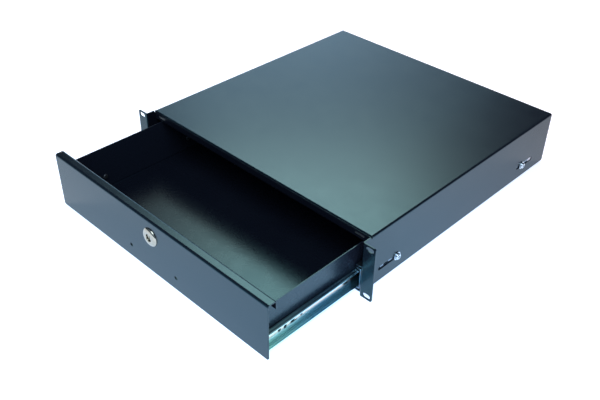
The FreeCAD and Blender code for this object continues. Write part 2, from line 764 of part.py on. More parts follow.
def make_drawer_tray():
    """Floor and side walls folded from one sheet, with front flanges welded to the panel."""
    body = new_body("drawer_tray", S.drawer_open)
    bend_end = PANEL_BACK + S.tray_sheet + S.tray_bend
    section = new_sketch(body, "XZ_Plane", bend_end)
    draw_loop(section, *folded_sheet(
        [(-TRAY_HALF, TRAY_TOP), (-TRAY_HALF, TRAY_UNDERSIDE), (TRAY_HALF, TRAY_UNDERSIDE),
         (TRAY_HALF, TRAY_TOP)], S.tray_sheet, S.tray_bend, 1))
    add_pad(body, section, TRAY_REAR - bend_end)
    lap = bend_end + S.tray_sheet
    relief = TRAY_FLOOR + S.tray_corner_relief
    for side in SIDES.values():
        fold = new_sketch(body, "XY_Plane", relief)
        draw_loop(fold, *folded_sheet(
            [(side * TRAY_HALF, lap), (side * TRAY_HALF, PANEL_BACK),
             (side * (TRAY_HALF - S.tray_front_flange), PANEL_BACK)],
            S.tray_sheet, S.tray_bend, -side))
        add_pad(body, fold, TRAY_TOP - relief)
    low_edge = new_sketch(body, "YZ_Plane", S.tray_corner_relief - TRAY_INNER)
    draw_loop(low_edge, *folded_sheet(
        [(lap, TRAY_UNDERSIDE), (PANEL_BACK, TRAY_UNDERSIDE),
         (PANEL_BACK, TRAY_UNDERSIDE + S.tray_front_flange)], S.tray_sheet, S.tray_bend, -1))
    add_pad(body, low_edge, (TRAY_INNER - S.tray_corner_relief) * 2)
    holes = new_sketch(body, "YZ_Plane", -TRAY_HALF)
    for number in range(SIZES["drawer_screws"]):
        draw_circle(holes, FRONT_SCREW + number * SCREW_STEP, SLIDE_AXIS,
                    S.drawer_screw + S.drawer_screw_gap * 2)
    add_pocket(body, holes, TRAY_HALF * 2)


def make_drawer_back():
    """Rear wall of the drawer, with side flanges welded between the tray's walls."""
    body = new_body("drawer_back", S.drawer_open)
    front = TRAY_REAR - S.tray_back_flange
    wall = new_sketch(body, "XY_Plane", TRAY_FLOOR)
    draw_loop(wall, *folded_sheet(
        [(TRAY_INNER, front), (TRAY_INNER, TRAY_REAR), (-TRAY_INNER, TRAY_REAR),
         (-TRAY_INNER, front)], S.tray_sheet, S.tray_bend, 1))
    add_pad(body, wall, TRAY_TOP - S.tray_back_drop - TRAY_FLOOR)
    fold_cuts = new_sketch(body, "XZ_Plane", front)
    for side in SIDES.values():
        draw_box(fold_cuts, side * (TRAY_INNER - S.tray_bend), TRAY_FLOOR,
                 side * TRAY_INNER, TRAY_FLOOR + S.tray_bend)
    add_pocket(body, fold_cuts, S.tray_back_flange)


def make_drawer_front():
    """Front panel whose top is folded back and down into a channel."""
    body = new_body("drawer_front", S.drawer_open)
    section = new_sketch(body, "YZ_Plane", -PANEL_HALF)
    channel_rear = FACE + S.channel_depth
    draw_loop(section, *folded_sheet(
        [(FACE, PANEL_BOTTOM), (FACE, PANEL_TOP), (channel_rear, PANEL_TOP),
         (channel_rear, PANEL_TOP - S.channel_drop)], S.panel_sheet, S.panel_bend, -1))
    add_pad(body, section, PANEL_HALF * 2)
    holes = new_sketch(body, "XZ_Plane", FACE)
    draw_lock_outline(holes, LOCK_AXIS, S.lock_barrel / 2 + S.lock_hole_gap,
                      S.lock_flats / 2 + S.lock_hole_gap)
    for side in SIDES.values():
        draw_circle(holes, side * S.handle_spacing / 2, BASE + S.handle_level, S.handle_hole)
    cut = add_pocket(body, holes, S.panel_sheet)
    round_edges(
        body, cut,
        lambda edge: runs_along(edge, "Y") and at_x(edge, PANEL_HALF)
        and abs(edge.BoundBox.ZMin - PANEL_BOTTOM.value) < NEAR, S.panel_corner)


# ---- Cam lock ---------------------------------------------------------------------------------

def draw_lock_outline(sketch, level, radius, flat):
    """A circle with two flat sides, upright, as the lock's barrel and its hole in the panel.
    The round stretches meet the flats where the radius reaches them."""
    rise = Size((radius.value ** 2 - flat.value ** 2) ** 0.5,
                f"sqrt({radius.text} * {radius.text} - {flat.text} * {flat.text})")
    draw_loop(
        sketch, [(flat, level - rise), (flat, level + rise), (-flat, level + rise),
                 (-flat, level - rise)],
        [None, (NOTHING, level, (0, 1)), None, (NOTHING, level, (0, -1))])


def make_lock_body():
    """Barrel with a domed bezel in front and two flat sides, and a bore for the plug."""
    body = new_body("lock_body", S.drawer_open)
    rear = LOCK_REAR
    bore = S.lock_plug / 2 + S.lock_plug_gap
    bezel, crown, face = S.lock_bezel / 2, S.lock_bezel_crown / 2, S.lock_face / 2
    front = FACE - S.lock_bezel_tall
    profile = new_sketch(body, "YZ_Plane", NOTHING, (NOTHING, LOCK_AXIS))
    draw_loop(profile, [
        (FACE, bezel), (FACE - S.lock_bezel_rim, bezel), (front, crown),
        (front + S.lock_face_recess, face), (front + S.lock_face_recess, bore), (rear, bore),
        (rear, S.lock_barrel / 2), (FACE, S.lock_barrel / 2)])
    add_turned(body, profile)
    flats = new_sketch(body, "XZ_Plane", FACE)
    for side in SIDES.values():
        draw_box(flats, side * S.lock_flats / 2, LOCK_AXIS - S.lock_barrel / 2,
                 side * S.lock_barrel / 2, LOCK_AXIS + S.lock_barrel / 2)
    add_pocket(body, flats, rear - FACE)


def make_lock_nut():
    """Hexagon nut that clamps the lock to the back of the panel."""
    body = new_body("lock_nut", S.drawer_open)
    sketch = new_sketch(body, "XZ_Plane", PANEL_BACK, (NOTHING, LOCK_AXIS))
    half = S.lock_nut_across / 2
    point, shoulder = half * HEX_CORNER, half * HEX_CORNER / 2
    draw_loop(sketch, [
        (point, NOTHING), (shoulder, half), (-shoulder, half), (-point, NOTHING),
        (-shoulder, -half), (shoulder, -half)])
    draw_circle(sketch, NOTHING, NOTHING, S.lock_barrel + S.lock_hole_gap)
    add_pad(body, sketch, S.lock_nut_thick)


def make_lock_plug():
    """Plug that the key turns, with a keyway in front and a square tail for the cam."""
    body = new_body("lock_plug", S.drawer_open)
    front = FACE - S.lock_bezel_tall + S.lock_face_recess + S.lock_plug_recess
    profile = new_sketch(body, "YZ_Plane", NOTHING, (NOTHING, LOCK_AXIS))
    draw_box(profile, front, NOTHING, LOCK_REAR, S.lock_plug / 2)
    add_turned(body, profile)
    tail = new_sketch(body, "XZ_Plane", LOCK_REAR, (NOTHING, LOCK_AXIS))
    half = S.lock_tail / 2
    draw_box(tail, -half, -half, half, half)
    add_pad(body, tail, CAM_REAR - LOCK_REAR)
    keyway = new_sketch(body, "XZ_Plane", front, (NOTHING, LOCK_AXIS))
    draw_box(keyway, -S.keyway_wide / 2, -S.keyway_tall / 2, S.keyway_wide / 2,
             S.keyway_tall / 2)
    add_pocket(body, keyway, S.keyway_deep)
    tapped = new_sketch(body, "XZ_Plane", CAM_REAR - S.cam_screw_length, (NOTHING, LOCK_AXIS))
    draw_circle(tapped, NOTHING, NOTHING, S.cam_screw + S.cam_play * 2)
    add_pocket(body, tapped, S.cam_screw_length)


def make_lock_cam():
    """Flat cam on the plug's tail. It lies flat to the right, and turns up to lock."""
    body = new_body("lock_cam", S.drawer_open)
    sketch = new_sketch(body, "XZ_Plane", CAM_FRONT, (NOTHING, LOCK_AXIS))
    half, tail = S.cam_width / 2, S.lock_tail / 2 + S.cam_play
    tip = S.cam_reach - half
    draw_loop(
        sketch, [(NOTHING, -half), (tip, -half), (tip, half), (NOTHING, half)],
        [None, (tip, NOTHING, (1, 0)), None, (NOTHING, NOTHING, (-1, 0))])
    draw_box(sketch, -tail, -tail, tail, tail)
    add_pad(body, sketch, S.cam_sheet)


def make_cam_screw():
    """Screw in the plug's tail that holds the cam on."""
    body = new_body("cam_screw", S.drawer_open)
    profile = new_sketch(body, "YZ_Plane", NOTHING, (NOTHING, LOCK_AXIS))
    head, shank = S.cam_screw_head / 2, S.cam_screw / 2
    crown = CAM_REAR + S.cam_screw_head_tall
    edge = CAM_REAR + S.cam_screw_head_tall / 2
    draw_loop(profile, [
        (CAM_REAR - S.cam_screw_length, NOTHING), (crown, NOTHING), (crown, head / 2),
        (edge, head), (CAM_REAR, head), (CAM_REAR, shank),
        (CAM_REAR - S.cam_screw_length, shank)])
    add_turned(body, profile)
    cross = new_sketch(body, "XZ_Plane", crown - S.cross_depth, (NOTHING, LOCK_AXIS))
    arm, half_arm = S.cross_reach / 2, S.cross_arm / 2
    draw_box(cross, -arm, -half_arm, arm, half_arm)
    add_pocket(body, cross, S.cross_depth)


# ---- Assembly and files -----------------------------------------------------------------------

def check(document):
    """Stop if a feature failed, or a sub-part's shape is missing or not valid."""
    for item in document.Objects:
        if "Invalid" in item.State or "Error" in item.State:
            raise RuntimeError(f"{item.Name} failed: {item.getStatusString()}")
        if item.TypeId == "PartDesign::Pocket":
            before = item.BaseFeature.Shape.Volume
            if item.Shape.Volume >= before:
                raise RuntimeError(f"{item.Name} cuts nothing")
    for node in NODES:
        if node.Shape.isNull() or not node.Shape.isValid():
            raise RuntimeError(f"{node.Label} has no valid shape")


def main():
    make_chassis_shell()
    make_back_panel()
    for name, side in SIDES.items():
        make_slide(name, side)
        make_fasteners(name, side)
    make_drawer_tray()
    make_drawer_back()
    make_drawer_front()
    make_lock_body()
    make_lock_nut()
    make_lock_plug()
    make_lock_cam()
    make_cam_screw()
    doc.recompute()
    check(doc)
    os.makedirs("parts", exist_ok=True)
    for node in NODES:
        node.Shape.exportStep(f"parts/{node.Label}.step")


main()
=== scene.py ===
"""Looks of the sliding rack drawer: its finishes, the small pieces made here as fine meshes,
the studio and the camera. Lengths are in metres, or in millimetres times MM."""

import json
import math

import bmesh
import bpy
from mathutils import Matrix, Vector


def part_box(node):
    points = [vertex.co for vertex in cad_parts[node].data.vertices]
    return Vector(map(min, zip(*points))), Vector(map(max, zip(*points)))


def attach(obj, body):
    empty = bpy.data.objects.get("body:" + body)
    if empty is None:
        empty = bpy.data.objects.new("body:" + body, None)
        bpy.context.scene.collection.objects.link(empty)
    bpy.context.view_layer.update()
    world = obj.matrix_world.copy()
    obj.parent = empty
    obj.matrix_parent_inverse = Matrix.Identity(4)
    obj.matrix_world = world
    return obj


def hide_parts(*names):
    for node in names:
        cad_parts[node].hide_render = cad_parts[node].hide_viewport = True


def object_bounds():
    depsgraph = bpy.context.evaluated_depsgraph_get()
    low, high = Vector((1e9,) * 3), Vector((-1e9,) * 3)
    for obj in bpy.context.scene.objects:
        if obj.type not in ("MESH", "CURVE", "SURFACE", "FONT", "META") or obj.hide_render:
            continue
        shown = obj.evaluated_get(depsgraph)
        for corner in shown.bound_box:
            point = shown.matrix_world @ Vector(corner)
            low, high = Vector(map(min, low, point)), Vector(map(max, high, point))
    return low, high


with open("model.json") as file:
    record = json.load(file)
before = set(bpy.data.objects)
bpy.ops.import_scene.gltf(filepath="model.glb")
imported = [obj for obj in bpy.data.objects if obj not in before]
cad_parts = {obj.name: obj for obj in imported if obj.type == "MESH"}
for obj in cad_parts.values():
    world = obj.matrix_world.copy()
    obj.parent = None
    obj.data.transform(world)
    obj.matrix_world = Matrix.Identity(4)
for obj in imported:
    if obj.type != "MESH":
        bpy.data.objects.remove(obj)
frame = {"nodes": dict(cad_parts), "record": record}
CAD_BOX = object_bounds()
NODES = frame["nodes"]
MM = 0.001


# ---- Node building ----------------------------------------------------------------------------

class Graph:
    """A node tree being put together, with short calls for the nodes it uses."""

    def __init__(self, tree):
        self.nodes = tree.nodes
        self.links = tree.links

    def add(self, kind, inputs=None, **settings):
        """Add a node, with its settings and its inputs, each a value or another's output."""
        node = self.nodes.new(kind)
        for key, value in settings.items():
            setattr(node, key, value)
        for key, value in (inputs or {}).items():
            self.feed(node.inputs[key], value)
        return node

    def feed(self, socket, value):
        """Link a socket to another's output, or set it to a value."""
        if isinstance(value, bpy.types.NodeSocket):
            self.links.new(value, socket)
        else:
            socket.default_value = value

    def maths(self, operation, first, second=0.0):
        """An operation on two numbers, or on the first alone."""
        return self.add("ShaderNodeMath", {0: first, 1: second},
                        operation=operation).outputs[0]

    def product(self, first, *others):
        """Numbers multiplied together."""
        for other in others:
            first = self.maths("MULTIPLY", first, other)
        return first

    def span(self, factor, low, high, source=(0.0, 1.0)):
        """A factor mapped from its source span onto low to high, and held at its ends."""
        return self.add("ShaderNodeMapRange", {
            "Value": factor, "From Min": source[0], "From Max": source[1],
            "To Min": low, "To Max": high}).outputs["Result"]

    def fade(self, value, none, full):
        """0 at none and beyond, 1 at full and beyond, and between them in between."""
        return self.span(value, 0.0, 1.0, (none, full))


class Shader(Graph):
    """A surface material being put together."""

    def __init__(self, name):
        self.material = bpy.data.materials.new(name)
        self.material.use_nodes = True
        super().__init__(self.material.node_tree)
        self.surface = self.nodes["Principled BSDF"]
        self.place = self.add("ShaderNodeTexCoord").outputs["Object"]

    def set(self, **inputs):
        """Set inputs of the surface shader by their names, with _ for a space."""
        for key, value in inputs.items():
            self.feed(self.surface.inputs[key.replace("_", " ")], value)

    def axes(self):
        """The object's own X, Y and Z, in metres."""
        return self.add("ShaderNodeSeparateXYZ", {0: self.place}).outputs

    def stretched(self, scale):
        """The object's own coordinates, in metres, scaled along X, Y and Z."""
        return self.add("ShaderNodeMapping", {"Vector": self.place, "Scale": scale}).outputs[0]

    def noise(self, scale, detail, rough, vector=None, distortion=0.0):
        """Fractal noise, over the object's own coordinates unless told otherwise."""
        return self.add("ShaderNodeTexNoise", {
            "Vector": vector or self.place, "Scale": scale, "Detail": detail,
            "Roughness": rough, "Distortion": distortion}).outputs["Fac"]

    def mix(self, factor, first, second):
        """Two colours mixed by a factor."""
        node = self.add("ShaderNodeMix", {"Factor": factor}, data_type="RGBA")
        sockets = [socket for socket in node.inputs if socket.type == "RGBA"]
        for socket, colour in zip(sockets, (first, second)):
            plain = not isinstance(colour, bpy.types.NodeSocket)
            self.feed(socket, (*colour, 1) if plain else colour)
        return next(socket for socket in node.outputs if socket.type == "RGBA")

    def bump(self, height, distance, strength, normal=None):
        """The normal, or another one, tilted by a height map."""
        inputs = {"Height": height, "Distance": distance, "Strength": strength}
        if normal is not None:
            inputs["Normal"] = normal
        return self.add("ShaderNodeBump", inputs).outputs["Normal"]

    def rounded(self, radius):
        """The normal as if each edge were rounded by a radius."""
        return self.add("ShaderNodeBevel", {"Radius": radius}, samples=4).outputs[0]

    def edge(self, rounded):
        """How near an edge is: 0 where the rounded normal agrees with the plain one."""
        plain = self.add("ShaderNodeNewGeometry").outputs["Normal"]
        agree = self.add("ShaderNodeVectorMath", {0: rounded, 1: plain},
                         operation="DOT_PRODUCT").outputs["Value"]
        return self.maths("SUBTRACT", 1.0, agree)


def times(colour, share):
    """A colour made that many times as bright."""
    return tuple(channel * share for channel in colour)


# ---- Finishes ---------------------------------------------------------------------------------

# Places along X, Y or Z where the black coat's looks change: at the first there is none of the
# change yet, and at the second all of it. The lip is the cover's, folded down over the drawer.
LIP_FRONT_Y, LIP_REAR_Y = (0.0110, 0.0120), (0.0153, 0.0143)
LIP_TOP_Z, LIP_END_X = (0.0436, 0.0426), (0.2190, 0.2180)
REAR_RIGHT_X, REAR_RIGHT_Y = (0.10, 0.222), (0.08, 0.46)
LEFT_X = (0.10, -0.12)
ABOVE_TRAY_FLOOR_Z = (-0.0405, -0.0375)
# How much lower its index of refraction is on the lip and at the rear right. These, like the
# tray's own settings, only match the shading seen in the photograph: the real coat is one.
LIP_LOSS, REAR_RIGHT_LOSS = 0.30, 0.16


def black_coat(name, rough, shine, painted_wall_light=1.0, left_loss=0.0):
    """Satin black powder coat: fine orange peel, slight mottling, paler worn edges. Shine is its
    index of refraction, lowered on the lip, toward the rear right, and by left_loss toward the
    left: painted shade in its sheen. Above the tray's floor the base is made brighter by its own
    factor: for the tray, painted light that makes its walls paler than its floor of the same coat."""
    s = Shader(name)
    axes = s.axes()
    # Painted shade in the sheen: the index of refraction is lowered on the cover's lip, toward its
    # rear right and toward the left.
    rear_right = s.product(s.fade(axes["X"], *REAR_RIGHT_X), s.fade(axes["Y"], *REAR_RIGHT_Y))
    on_lip = s.product(s.fade(axes["Y"], *LIP_FRONT_Y), s.fade(axes["Y"], *LIP_REAR_Y),
                       s.fade(axes["Z"], *LIP_TOP_Z),
                       s.fade(s.maths("ABSOLUTE", axes["X"]), *LIP_END_X))
    gloss = s.maths("SUBTRACT", s.span(rear_right, shine, shine - REAR_RIGHT_LOSS),
                    s.span(on_lip, 0.0, LIP_LOSS))
    gloss = s.maths("SUBTRACT", gloss, s.span(axes["X"], 0.0, left_loss, LEFT_X))
    peel = s.noise(scale=900.0, detail=3.0, rough=0.55)
    grain = s.noise(scale=4200.0, detail=2.0, rough=0.6)
    cloud = s.noise(scale=9.0, detail=4.0, rough=0.6)
    smudge = s.noise(scale=38.0, detail=5.0, rough=0.65, distortion=0.6)
    scratches = s.noise(scale=160.0, detail=4.0, rough=0.7)
    dark, pale = (0.0046, 0.0058, 0.0105), (0.0060, 0.0074, 0.0125)
    worn = (0.026, 0.026, 0.028)
    base = s.mix(s.fade(cloud, 0.35, 0.65), dark, pale)
    # Above the tray's floor the base is the pale tone times the factor: for the tray, painted light
    # that makes its walls paler than its floor.
    base = s.mix(s.fade(axes["Z"], *ABOVE_TRAY_FLOOR_Z), base, times(pale, painted_wall_light))
    rounded = s.rounded(0.45 * MM)
    peeled = s.bump(peel, distance=0.012 * MM, strength=0.2, normal=rounded)
    wear = s.product(s.fade(s.edge(rounded), 0.06, 0.30), s.fade(scratches, 0.42, 0.62))
    s.set(Base_Color=s.mix(wear, base, worn),
          Roughness=s.maths("ADD", s.span(smudge, rough - 0.02, rough + 0.02, (0.3, 0.7)),
                            s.span(grain, -0.02, 0.02)),
          Specular_Tint=(0.12, 0.82, 1.0, 1), IOR=gloss,
          Normal=s.bump(grain, distance=0.004 * MM, strength=0.25, normal=peeled))
    return s.material


def zinc(name, colour, rough):
    """Zinc-plated steel, with rolling streaks along Y and a mottled bluish passivation."""
    s = Shader(name)
    streak = s.noise(scale=1.0, detail=4.0, rough=0.6, vector=s.stretched((900.0, 14.0, 900.0)))
    spangle = s.noise(scale=120.0, detail=3.0, rough=0.6)
    bloom = s.noise(scale=22.0, detail=4.0, rough=0.6, distortion=0.4)
    cool = tuple(channel * share for channel, share in zip(colour, (0.80, 0.93, 1.04)))
    base = s.mix(s.fade(bloom, 0.35, 0.68), colour, cool)
    base = s.mix(s.span(streak, 0.0, 0.32, (0.45, 0.8)), base, times(colour, 0.72))
    mottled = s.bump(spangle, distance=0.01 * MM, strength=0.25, normal=s.rounded(0.25 * MM))
    s.set(Base_Color=base, Metallic=1.0,
          Roughness=s.maths("ADD", s.span(streak, rough - 0.05, rough + 0.07),
                            s.span(spangle, -0.03, 0.03)),
          Normal=s.bump(streak, distance=0.006 * MM, strength=0.4, normal=mottled))
    return s.material


# Places on the inner slide members, in the same way: where the tint turns greener toward the
# front, as the photograph shows it, and where the web curls into its lower and upper flange
GREENER_Y = (-0.06, -0.17)
LOWER_FLANGE_Z, UPPER_FLANGE_Z = (-0.0222, -0.0240), (-0.0150, -0.0130)


def slide_zinc():
    """Bright zinc on the inner slide members over drawn steel. Its colours are painted reflection:
    warm on the web, teal on the flanges and greener toward the front, with a random tint over them.
    It is duller where the flanges turn greener."""
    s = Shader("slide_zinc")
    axes = s.axes()
    streak = s.noise(scale=1.0, detail=4.0, rough=0.6, vector=s.stretched((1500.0, 9.0, 1500.0)))
    tint = s.noise(scale=14.0, detail=3.0, rough=0.5, distortion=0.5)
    greener = s.maths("ADD", s.span(axes["Y"], 0.0, 1.1, GREENER_Y), s.span(tint, -0.3, 0.3))
    greener = s.span(greener, 0.0, 1.0)
    # Painted reflection: the web and the flanges take different colours, and turn greener toward
    # the front.
    web = s.mix(greener, (0.64, 0.54, 0.47), (0.58, 0.60, 0.46))
    flange = s.mix(greener, (0.40, 0.68, 0.78), (0.66, 1.00, 0.86))
    curled = s.maths("MAXIMUM", s.fade(axes["Z"], *LOWER_FLANGE_Z),
                     s.fade(axes["Z"], *UPPER_FLANGE_Z))
    base = s.mix(curled, web, flange)
    base = s.mix(s.span(streak, 0.0, 0.25, (0.5, 0.8)), base, (0.36, 0.50, 0.54))
    s.set(Base_Color=base, Metallic=1.0,
          Roughness=s.maths("ADD", s.span(streak, 0.13, 0.21),
                            s.product(curled, s.span(greener, 0.07, 0.24))),
          Normal=s.bump(streak, distance=0.003 * MM, strength=0.3,
                        normal=s.rounded(0.25 * MM)))
    return s.material


def black_oxide():
    """Blackened steel with a thin film of oil."""
    s = Shader("black_oxide")
    film = s.noise(scale=600.0, detail=4.0, rough=0.6)
    s.set(Base_Color=s.mix(s.fade(film, 0.35, 0.7),
                           (0.050, 0.056, 0.064), (0.085, 0.090, 0.096)),
          Metallic=0.6, Roughness=s.span(film, 0.28, 0.42, (0.3, 0.7)),
          Normal=s.bump(film, distance=0.01 * MM, strength=0.3, normal=s.rounded(0.15 * MM)))
    return s.material


def chrome():
    """Polished chrome plate over a die casting, with faint handling scratches."""
    s = Shader("chrome")
    haze = s.noise(scale=260.0, detail=4.0, rough=0.6)
    scratch = s.noise(scale=1.0, detail=2.0, rough=0.5, vector=s.stretched((2600.0, 2600.0, 150.0)))
    s.set(Base_Color=s.mix(s.fade(haze, 0.35, 0.7), (0.42, 0.39, 0.31), (0.34, 0.33, 0.27)),
          Metallic=1.0,
          Roughness=s.maths("ADD", s.span(haze, 0.05, 0.11, (0.35, 0.65)),
                            s.span(scratch, 0.0, 0.06, (0.55, 0.75))),
          Normal=s.bump(scratch, distance=0.003 * MM, strength=0.2,
                        normal=s.rounded(0.2 * MM)))
    return s.material


def brass():
    """Brushed brass of the keyway's shutter, a little tarnished."""
    s = Shader("brass")
    tarnish = s.noise(scale=420.0, detail=4.0, rough=0.65)
    brushed = s.noise(scale=1.0, detail=3.0, rough=0.6, vector=s.stretched((5200.0, 5200.0, 220.0)))
    s.set(Base_Color=s.mix(s.fade(tarnish, 0.35, 0.7), (0.52, 0.56, 0.42), (0.30, 0.34, 0.26)),
          Metallic=1.0, Roughness=s.span(brushed, 0.22, 0.36, (0.3, 0.7)),
          Normal=s.bump(brushed, distance=0.008 * MM, strength=0.3))
    return s.material


def nylon():
    """Moulded dark grey nylon: slightly glossy, with a faint flow pattern."""
    s = Shader("nylon")
    flow = s.noise(scale=90.0, detail=4.0, rough=0.6, distortion=0.8)
    grain = s.noise(scale=2600.0, detail=2.0, rough=0.6)
    s.set(Base_Color=s.mix(s.fade(flow, 0.35, 0.7),
                           (0.045, 0.050, 0.050), (0.030, 0.034, 0.034)),
          Roughness=s.span(flow, 0.34, 0.46, (0.3, 0.7)),
          Subsurface_Weight=0.05, Normal=s.bump(grain, distance=0.01 * MM, strength=0.4))
    return s.material


def ball_steel():
    """Ground and oiled bearing steel."""
    s = Shader("ball_steel")
    film = s.noise(scale=700.0, detail=3.0, rough=0.6)
    s.set(Base_Color=s.mix(s.fade(film, 0.35, 0.7), (0.66, 0.67, 0.69), (0.52, 0.53, 0.55)),
          Metallic=1.0, Roughness=s.span(film, 0.06, 0.16, (0.3, 0.7)))
    return s.material


def bumper_rubber():
    """Moulded black rubber with a matt, slightly dusty skin."""
    s = Shader("bumper_rubber")
    dust = s.noise(scale=240.0, detail=4.0, rough=0.65)
    grain = s.noise(scale=2400.0, detail=2.0, rough=0.6)
    s.set(Base_Color=s.mix(s.fade(dust, 0.4, 0.75),
                           (0.012, 0.012, 0.013), (0.035, 0.034, 0.033)),
          Roughness=s.span(dust, 0.72, 0.9, (0.3, 0.7)),
          Normal=s.bump(grain, distance=0.02 * MM, strength=0.5))
    return s.material


MATERIALS = {
    "black_coat": black_coat("black_coat", 0.215, 1.46),
    "tray_coat": black_coat("tray_coat", 0.275, 1.475, painted_wall_light=2.0, left_loss=0.18),
    "zinc": zinc("zinc", (0.62, 0.65, 0.66), 0.24),
    "slide_zinc": slide_zinc(),
    "dull_zinc": zinc("dull_zinc", (0.27, 0.33, 0.38), 0.30),
    "black_oxide": black_oxide(),
    "cage_steel": zinc("cage_steel", (0.50, 0.51, 0.51), 0.34),
    "ball_steel": ball_steel(),
    "chrome": chrome(),
    "bumper_rubber": bumper_rubber(),
    "brass": brass(),
    "nylon": nylon(),
}
SLOT_OF = {row["node"]: row["material_slot"] for row in frame["record"]["subparts"]}
# Nodes with a finish of their own within their slot, by how their names start
OWN_FINISH = {
    "slide_inner": "slide_zinc",
    "slide_outer": "dull_zinc",
    "slide_middle": "dull_zinc",
    "drawer_tray": "tray_coat",
}


def dress(obj, finish):
    """Give an object a finish as its only material."""
    obj.data.materials.clear()
    obj.data.materials.append(MATERIALS[finish])


for node_name, node_object in NODES.items():
    own = [finish for start, finish in OWN_FINISH.items() if node_name.startswith(start)]
    dress(node_object, own[0] if own else SLOT_OF[node_name])


# ---- Pieces made here -------------------------------------------------------------------------

# The angle from which an edge is left sharp, and the steps in a full turn
SHARP_EDGE = math.radians(35.0)
TURNED_STEPS = 128


def arc(middle, radii, start, stop, steps):
    """Points on an elliptic arc round its middle, between two angles in degrees."""
    angles = [math.radians(start + (stop - start) * i / steps) for i in range(steps + 1)]
    return [(middle[0] + radii[0] * math.cos(a), middle[1] + radii[1] * math.sin(a))
            for a in angles]


def corners(node):
    """The low and the high corner of a node's box."""
    low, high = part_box(node)
    return Vector(low), Vector(high)


def finish_piece(name, shape, body, finish):
    """Turn a bmesh into a piece that rides on a body, smooth but for its sharp edges."""
    bmesh.ops.recalc_face_normals(shape, faces=shape.faces)
    mesh = bpy.data.meshes.new(name)
    shape.to_mesh(mesh)
    shape.free()
    mesh.shade_smooth()
    mesh.set_sharp_from_angle(angle=SHARP_EDGE)
    piece = bpy.data.objects.new(name, mesh)
    bpy.context.scene.collection.objects.link(piece)
    dress(piece, finish)
    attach(piece, body)
    return piece


def join_rings(shape, ring, after):
    """Faces between two rings of equal count."""
    for i in range(len(ring)):
        j = (i + 1) % len(ring)
        shape.faces.new((ring[i], ring[j], after[j], after[i]))


def turned(loop, middle):
    """A closed loop of (radius, reach to the front) turned about the line along Y through
    the middle."""
    shape = bmesh.new()
    rings = []
    for step in range(TURNED_STEPS):
        turn = 2 * math.pi * step / TURNED_STEPS
        rings.append([shape.verts.new((middle.x + radius * math.cos(turn),
                                       middle.y - reach,
                                       middle.z + radius * math.sin(turn)))
                      for radius, reach in loop])
    for ring, after in zip(rings, rings[1:] + rings[:1]):
        join_rings(shape, ring, after)
    return shape


def stacked(outlines):
    """A solid through closed outlines of equal count, one behind another, with flat ends."""
    shape = bmesh.new()
    rings = [[shape.verts.new(point) for point in outline] for outline in outlines]
    for ring, after in zip(rings, rings[1:]):
        join_rings(shape, ring, after)
    shape.faces.new(rings[0])
    shape.faces.new(rings[-1][::-1])
    return shape


def make_lock_case():
    """Lock body with a domed bezel, a dished face, and a grooved barrel with two flats. The
    bezel stands on the panel's face, from which all heights and depths are counted."""
    low, high = corners("lock_body")
    plug_low, plug_high = corners("lock_plug")
    panel_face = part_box("drawer_front")[0][1]
    height, depth = panel_face - low.y, high.y - panel_face
    play, chamfer = 0.1 * MM, 0.3 * MM
    bezel_radius = (high.x - low.x) / 2
    bore_radius = (plug_high.x - plug_low.x) / 2 + play
    # The dome rises from the rim to the crown, and a rounded lip falls from there to the dish
    crown_radius, lip_width = bezel_radius * 0.56, bezel_radius * 0.09
    rim_height, dish_height = 0.2 * MM, height - 1.6 * MM
    lip_foot = dish_height + 0.5 * MM
    loop = [(bore_radius, -depth), (bore_radius, dish_height - chamfer),
            (bore_radius + chamfer, dish_height)]
    loop += arc((crown_radius - lip_width, lip_foot), (lip_width, height - lip_foot),
                180, 90, steps=8)
    loop += arc((crown_radius, rim_height), (bezel_radius - crown_radius, height - rim_height),
                90, 0, steps=16)
    # The grooves run as a wave from just behind the panel's face to just before the rear end
    barrel_radius, pitch, groove_depth = 9.2 * MM, 1.5 * MM, 0.5 * MM
    first_groove, grooved_length = 0.5 * MM, depth - 1.0 * MM
    steps_per_groove = 8
    steps = round(grooved_length / pitch) * steps_per_groove
    loop += [(bezel_radius, 0.0), (barrel_radius, 0.0)]
    for step in range(steps):
        reach = grooved_length * step / steps + first_groove
        wave = 0.5 - 0.5 * math.cos(2 * math.pi * step / steps_per_groove)
        loop.append((barrel_radius - groove_depth * wave, -reach))
    end_taper = 0.6 * MM
    loop.append((barrel_radius - end_taper, -depth))
    shape = turned(loop, Vector((0.0, panel_face, (low.z + high.z) / 2)))
    # Two flats along the barrel, behind the panel's face
    flat = 8.0 * MM
    for vert in shape.verts:
        if vert.co.y > panel_face and abs(vert.co.x) > flat:
            vert.co.x = math.copysign(flat, vert.co.x)
    case = finish_piece("lock_case", shape, "drawer", "chrome")
    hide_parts("lock_body")


